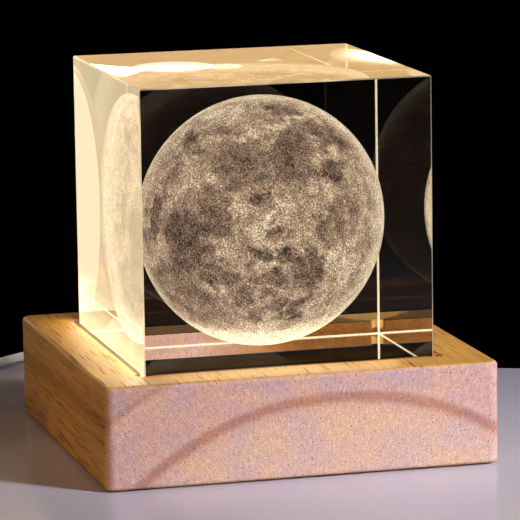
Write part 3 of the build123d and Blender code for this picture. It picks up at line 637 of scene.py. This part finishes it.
# Wood: sizes in mm, scales per mm, and tones as noise or distance from and to, then tone from and to
wood = {
    # growth rings, about the stem's heart below the block; the one that shows lies half way through a turn
    "heart": (7.9, -47.6), "ringRadius": 64.0, "ringSpacing": 13.8, "ringTurn": 6.5,
    "wanderScale": 0.03, "wander": 1.2,
    "longRing": [
        (0.0, "#dfa352"), (0.35, "#d89c49"), (0.48, "#bd7f36"), (0.54, "#c1833a"), (0.62, "#d69846"),
        (1.0, "#dfa352"),
    ],
    # end grain: one broad ring in the middle of a 40 mm span, and a faint one 14 mm outside it
    "ringSpan": 40,
    "endRing": [
        (0.0, "#d6b6a4"), (0.4, "#d5b5a3"), (0.455, "#d1ac9b"), (0.487, "#b58574"), (0.512, "#b88978"),
        (0.535, "#cdaaa1"), (0.7, "#cda99f"), (0.81, "#d1aea1"), (0.845, "#b69085"), (0.87, "#c4a39d"),
        (1.0, "#c3a4a5"),
    ],
    "blushScale": 0.16, "blush": [(0.36, "#fff2e2"), (0.64, "#f2ecf6")],
    # pale and dark specks of 0.25 mm
    "speck": (3.6, 2.0, 0.7), "speckTone": (0.3, 0.7, 0.72, 1.26),
    # mouths of the pores, 0.35 mm across, of which some hold pale dust
    "mouth": (0.11, 0.19, 1.0, 0.0), "mouthTone": (0.5, 0.52, 0.35, 1.5),
    # rays, 0.3 mm wide, that run out from the heart
    "rayStretch": 0.3, "rayScale": 2.2, "rayTone": (0.3, 0.7, 0.86, 1.14),
    # fibres, 0.8 mm wide and long along Y
    "fibreStretch": (1, 0.05, 1), "fibre": (1.1, 4.0, 0.6), "fibreTone": (0.3, 0.7, 0.76, 1.14),
    # pores, 0.2 mm wide and up to 9 mm long, in drifts
    "poreStretch": (2.4, 0.055, 2.4), "pore": (0.2, 0.27, 1.0, 0.0), "poreColour": "#3c1e0c",
    "driftScale": 0.09, "drift": (0.34, 0.54, 0.15, 1.0),
    # where the end grain starts on the rounded edges: sooner on the right
    "endStart": (0.5, 0.85, 0.0, 1.0), "rightSide": 39.0, "rightSooner": 0.4,
    # the seat: how far from the middle its inside goes and where the outside starts, and its floor's painted
    # shade
    "seatInside": 31.5, "seatOutside": 33.0, "floorShade": 0.12,
    # its walls: painted light makes the left of the back one pale, and painted shade makes them brown
    # elsewhere
    "litWallReach": (-10, 14, 1.0, 0.0), "litWallTint": (1.5, 1.5, 1.5, 1), "shadedWallTint": (1.1, 0.9, 0.4, 1),
    "paintedWallGlow": 0.5,
    "satin": (0.3, 0.8, 0.75, 0.42), "ior": 1.5,  # roughness by how far a face looks up: the top is smoother
    "poreDent": (0.3, -0.0001), "fibreDent": (0.25, 0.0001),  # strength, and depth in metres
}


# Oiled rubberwood, sanded: end grain at the front and back is pink and matt with fine pale specks and dark
# pores, the long grain on the other faces golden brown with dark pores drawn out along Y. The walls of the
# seat carry painted light and shade: pale on the left of the back wall, browner elsewhere.
def oiledWood():
    material, tree = newMaterial("oiled rubberwood")
    where = addNode(tree, "ShaderNodeTexCoord").outputs
    place = mapping(tree, where["Object"], perMetre)
    spot = split(tree, place)
    facing = split(tree, where["Normal"])
    # distance from the stem's heart, in turns from ring to ring
    fromHeart = mapping(tree, place, (1, 0, 1), (-wood["heart"][0], 0, -wood["heart"][1]))
    reach = addNode(tree, "ShaderNodeVectorMath", {0: fromHeart}, operation="LENGTH").outputs["Value"]
    drift = noise(tree, place, wood["wanderScale"])
    reach = maths(tree, "ADD", reach, maths(tree, "MULTIPLY_ADD", drift, wood["wander"], -wood["wander"] / 2))
    turns = maths(tree, "MULTIPLY_ADD", reach, 1 / wood["ringSpacing"],
                  wood["ringTurn"] - wood["ringRadius"] / wood["ringSpacing"])
    # long grain: rings, fibres and pores
    longRing = colourRamp(tree, maths(tree, "FRACT", turns), wood["longRing"])
    fibre = noise(tree, mapping(tree, place, wood["fibreStretch"]), *wood["fibre"])
    longColour = product(tree, longRing, mapRange(tree, fibre, *wood["fibreTone"]))
    pores = addNode(tree, "ShaderNodeTexVoronoi", {
        "Vector": mapping(tree, place, wood["poreStretch"]), "Scale": 1.0})
    drifts = mapRange(tree, noise(tree, place, wood["driftScale"], 1.0), *wood["drift"])
    poreMask = maths(tree, "MULTIPLY", mapRange(tree, pores.outputs["Distance"], *wood["pore"]), drifts)
    pored = blend(tree, poreMask, longColour, linear(wood["poreColour"]))
    # end grain: rings, specks, the mouths of the pores, and rays
    fromRing = maths(tree, "MULTIPLY_ADD", reach, 1 / wood["ringSpan"],
                     0.5 - wood["ringRadius"] / wood["ringSpan"])
    endRing = product(tree, colourRamp(tree, fromRing, wood["endRing"]),
                      colourRamp(tree, noise(tree, place, wood["blushScale"]), wood["blush"]))
    speckTone = mapRange(tree, noise(tree, place, *wood["speck"]), *wood["speckTone"])
    mouths = addNode(tree, "ShaderNodeTexVoronoi", {"Vector": place, "Scale": 1.0}).outputs
    mouthTone = addNode(tree, "ShaderNodeMix", {
        0: mapRange(tree, mouths["Distance"], *wood["mouth"]), 2: 1.0,
        3: mapRange(tree, split(tree, mouths["Color"])["X"], *wood["mouthTone"])}).outputs[0]
    heartSpot = split(tree, fromHeart)
    angle = maths(tree, "ARCTAN2", heartSpot["X"], heartSpot["Z"])
    raySpace = addNode(tree, "ShaderNodeCombineXYZ", {
        "X": maths(tree, "MULTIPLY", angle, wood["ringRadius"]),
        "Y": maths(tree, "MULTIPLY", reach, wood["rayStretch"])}).outputs[0]
    rayTone = mapRange(tree, noise(tree, raySpace, wood["rayScale"]), *wood["rayTone"])
    endTone = maths(tree, "MULTIPLY", maths(tree, "MULTIPLY", speckTone, mouthTone), rayTone)
    endColour = product(tree, endRing, endTone)
    # end grain faces along Y, outside the seat and on the painted-lit pale part of its back wall
    onRight = maths(tree, "GREATER_THAN", spot["X"], wood["rightSide"])
    endOn = maths(tree, "MULTIPLY_ADD", onRight, wood["rightSooner"], maths(tree, "ABSOLUTE", facing["Y"]))
    depth = maths(tree, "ABSOLUTE", spot["Y"])
    behind = maths(tree, "GREATER_THAN", spot["Y"], 0.0)
    litWall = maths(tree, "MULTIPLY", mapRange(tree, spot["X"], *wood["litWallReach"]), behind)
    outside = maths(tree, "MAXIMUM", maths(tree, "GREATER_THAN", depth, wood["seatOutside"]), litWall)
    endOn = maths(tree, "MULTIPLY", mapRange(tree, endOn, *wood["endStart"]), outside)
    colour = blend(tree, endOn, pored, endColour)
    # inside the seat: its walls, and painted shade on the floor round the window
    across = maths(tree, "MAXIMUM", maths(tree, "ABSOLUTE", spot["X"]), depth)
    inSeat = maths(tree, "LESS_THAN", across, wood["seatInside"])
    level = maths(tree, "GREATER_THAN", facing["Z"], 0.5)
    wallHere = maths(tree, "SUBTRACT", inSeat, level, use_clamp=True)
    # painted light brightens the left of the back wall, painted shade browns the other walls
    wallTone = blend(tree, wallHere, (1, 1, 1, 1), blend(tree, litWall, wood["shadedWallTint"], wood["litWallTint"]))
    floorShade = mapRange(tree, maths(tree, "MULTIPLY", inSeat, level), 0.0, 1.0, 1.0, wood["floorShade"])
    colour = product(tree, colour, product(tree, wallTone, floorShade))
    satin = maths(tree, "MAXIMUM", mapRange(tree, facing["Z"], *wood["satin"]), poreMask)
    # painted glow for light from the window that the seat's back wall scatters
    paintedWallGlow = maths(tree, "MULTIPLY", maths(tree, "MULTIPLY", wallHere, litWall), wood["paintedWallGlow"])
    bump = addNode(tree, "ShaderNodeBump", {
        "Height": poreMask, "Strength": wood["poreDent"][0], "Distance": wood["poreDent"][1]})
    bump = addNode(tree, "ShaderNodeBump", {
        "Height": fibre, "Strength": wood["fibreDent"][0], "Distance": wood["fibreDent"][1],
        "Normal": bump.outputs["Normal"]})
    closeTree(tree, {
        "Base Color": colour, "Roughness": satin, "IOR": wood["ior"], "Emission Color": colour,
        "Emission Strength": paintedWallGlow, "Normal": bump.outputs["Normal"]})
    return material


dress(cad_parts["wood_base"], oiledWood())
print("wood dressed")


# Light window: its glow by the distance from its middle, from and to in mm, then strengths there
window = {
    "glow": (15, 23, 10.0, 0.6),
    "grainScale": 120.0, "colours": [(0.3, "#ffe2b4"), (0.7, "#ffedcc")], "unlit": "#efe8dc",
    "roughness": 0.45, "ior": 1.49,
}


# Opal acrylic over the lamps: warm white, bright in its middle and faint at its rim
def opalWindow():
    material, tree = newMaterial("opal acrylic lit from below")
    place = addNode(tree, "ShaderNodeTexCoord").outputs["Object"]
    colour = colourRamp(tree, noise(tree, place, window["grainScale"]), window["colours"])
    flat = mapping(tree, place, (1 / mm, 1 / mm, 0))
    reach = addNode(tree, "ShaderNodeVectorMath", {0: flat}, operation="LENGTH").outputs["Value"]
    strength = mapRange(tree, reach, *window["glow"], interpolation_type="SMOOTHSTEP")
    closeTree(tree, {
        "Base Color": linear(window["unlit"]), "Roughness": window["roughness"], "IOR": window["ior"],
        "Emission Color": colour, "Emission Strength": strength})
    return material


dress(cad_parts["light_window"], opalWindow())


# What the plain finishes share: the mottling's detail and where its two colours lie on the noise, how much
# the roughness varies, and how deep the bump is beside its grain
mottling = {"detail": 3.0, "low": 0.35, "high": 0.65, "noise": (0.3, 0.7), "rubbed": 0.15, "depth": 0.25}
# Every other CAD part: nodes, colours low and high, mottle in mm, roughness, IOR (none for a metal), and the
# bump's grain in mm and strength
finishes = {
    "white solder mask over glass fibre": (  # off-white with a soft shine
        ["led_board"], ("#d9d9d2", "#e4e4de"), 3.0, 0.45, 1.5, 0.3, 0.05),
    "white moulded lamp case": (  # dull white
        ["led_packages"], ("#dcdad2", "#e8e6de"), 1.0, 0.5, 1.5, 0.2, 0.05),
    "yellow phosphor in silicone": (  # egg yellow, a little wet
        ["led_phosphor"], ("#e0a828", "#edb93c"), 0.5, 0.3, 1.41, 0.2, 0.05),
    "fired black resistor ceramic": (  # near black and dull
        ["board_resistors"], ("#181818", "#222222"), 0.6, 0.5, 1.6, 0.15, 0.1),
    "zinc plated steel screw": (  # grey metal, softly bright
        ["board_screws", "cover_screws"], ("#a8a8a4", "#bcbcb6"), 1.0, 0.35, None, 0.3, 0.1),
    "bright tin solder": (  # silvery and bright
        ["solder_joints"], ("#b4b4b0", "#c8c8c4"), 0.8, 0.25, None, 0.3, 0.1),
    "red PVC insulation": (  # deep red, waxy
        ["lead_wire_red", "switch_wires"], ("#9c1812", "#b01e16"), 1.5, 0.4, 1.53, 0.3, 0.05),
    "black PVC insulation": (  # black, waxy
        ["lead_wire_black"], ("#121212", "#1a1a1a"), 1.5, 0.4, 1.53, 0.3, 0.05),
    "black moulded ABS": (  # black with a fine matt texture
        ["bottom_cover"], ("#141414", "#1b1b1b"), 4.0, 0.55, 1.54, 0.4, 0.15),
    "clear silicone pad": (  # milky grey
        ["silicone_feet"], ("#c4c4be", "#d0d0ca"), 2.0, 0.35, 1.41, 0.4, 0.05),
    "white soft PVC": (  # warm white, satin
        ["cable_grommet", "cable_inner", "plug_overmould"], ("#dcdcd8", "#e6e6e2"),
        3.0, 0.42, 1.53, 0.25, 0.08),
    "black nylon tie": (  # black, faintly shiny
        ["cable_stop"], ("#131313", "#1a1a1a"), 1.0, 0.45, 1.53, 0.3, 0.05),
    "plastic coated tie wire": (  # black, shinier
        ["cable_tie"], ("#101010", "#181818"), 1.0, 0.35, 1.5, 0.4, 0.1),
    "white moulded ABS": (  # warm white with a clear shine
        ["switch_lower_shell", "switch_upper_shell", "switch_rocker"], ("#dededa", "#e8e8e4"),
        3.0, 0.32, 1.54, 0.3, 0.06),
    "stamped brass": (  # yellow metal
        ["rocker_contact", "switch_terminals"], ("#c09446", "#d4a858"), 1.0, 0.3, None, 0.3, 0.08),
    "nickel plated stamped steel": (  # pale metal, bright
        ["plug_shell"], ("#b6b4b0", "#c6c4c0"), 2.5, 0.22, None, 0.5, 0.05),
    "white nylon insulator": (  # chalky white
        ["plug_insulator"], ("#d0d0cc", "#dcdcd8"), 2.0, 0.5, 1.53, 0.3, 0.05),
    "gold plated contact": (  # rich yellow metal, bright
        ["plug_contacts"], ("#d8a840", "#e6b850"), 1.0, 0.22, None, 0.3, 0.05),
}


# One finish: mottled between its two colours, rubbed a little smoother and rougher, with a fine bump
def surfaceFinish(name, colours, mottle, roughness, ior, grain, strength):
    material, tree = newMaterial(name)
    place = addNode(tree, "ShaderNodeTexCoord").outputs["Object"]
    cloud = noise(tree, place, 1 / (mottle * mm), mottling["detail"])
    bump = addNode(tree, "ShaderNodeBump", {
        "Height": noise(tree, place, 1 / (grain * mm)), "Strength": strength,
        "Distance": grain * mm * mottling["depth"]})
    low, high = roughness * (1 - mottling["rubbed"]), roughness * (1 + mottling["rubbed"])
    closeTree(tree, {
        "Base Color": colourRamp(tree, cloud, list(zip((mottling["low"], mottling["high"]), colours))),
        "Roughness": mapRange(tree, cloud, *mottling["noise"], low, high),
        "Normal": bump.outputs["Normal"], **({"IOR": ior} if ior else {"Metallic": 1.0})})
    return material


for name, (nodes, *values) in finishes.items():
    material = surfaceFinish(name, *values)
    for node in nodes:
        dress(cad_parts[node], material)
    if name == "white soft PVC":
        dress(lampLead, material)
        dress(restLead, material)
print("other parts dressed")

bpy.context.view_layer.update()
